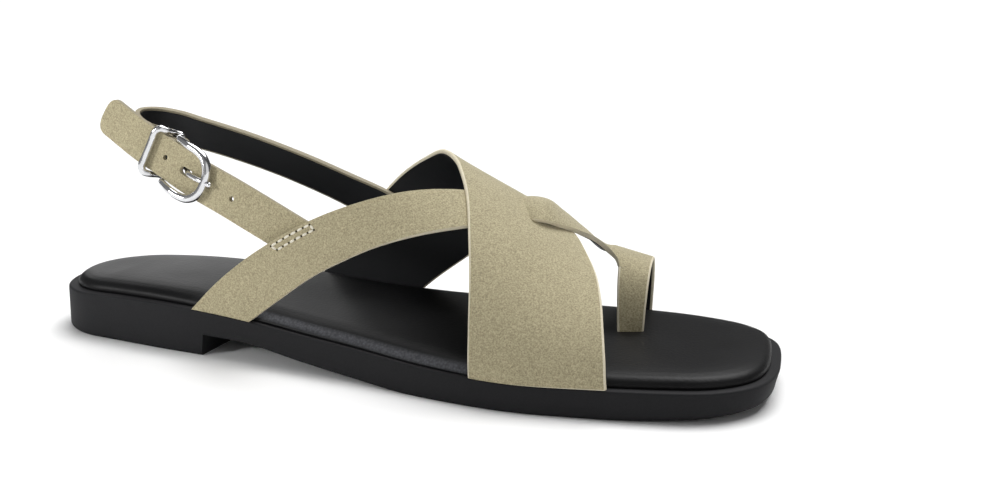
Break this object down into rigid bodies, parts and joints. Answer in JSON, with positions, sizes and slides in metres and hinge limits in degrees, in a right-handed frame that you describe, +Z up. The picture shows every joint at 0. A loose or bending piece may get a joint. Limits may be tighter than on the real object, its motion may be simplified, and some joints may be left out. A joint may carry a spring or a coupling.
{
  "type": "toe loop sandal",
  "caption": "Flat sandal with crossed straps, a loop for the big toe, a buckled heel strap, a padded footbed and a low block heel. For the right foot.",
  "frame": {"origin": "centre of the bounding box in plan, on the floor under the sole", "axes": "+X from heel to toe, +Y to the medial side (the big toe's side), +Z up"},
  "size_m": [0.25, 0.0858, 0.0803],
  "materials": {
    "outsole": "matte black moulded rubber",
    "footbed": "black padded lining leather, satin",
    "upper": "khaki nubuck with a black lining",
    "sling_strap": "khaki nubuck with a black lining",
    "buckle_strap": "khaki nubuck with a black lining",
    "buckle_frame": "polished silver wire",
    "buckle_prong": "polished silver wire"
  },
  "bodies": {
    "root": {"outsole": "outsole", "footbed": "footbed", "upper": "upper", "sling_strap": "sling_strap", "buckle_strap": "buckle_strap", "buckle_frame": "buckle_frame", "buckle_prong": "buckle_prong"}
  },
  "joints": []
}
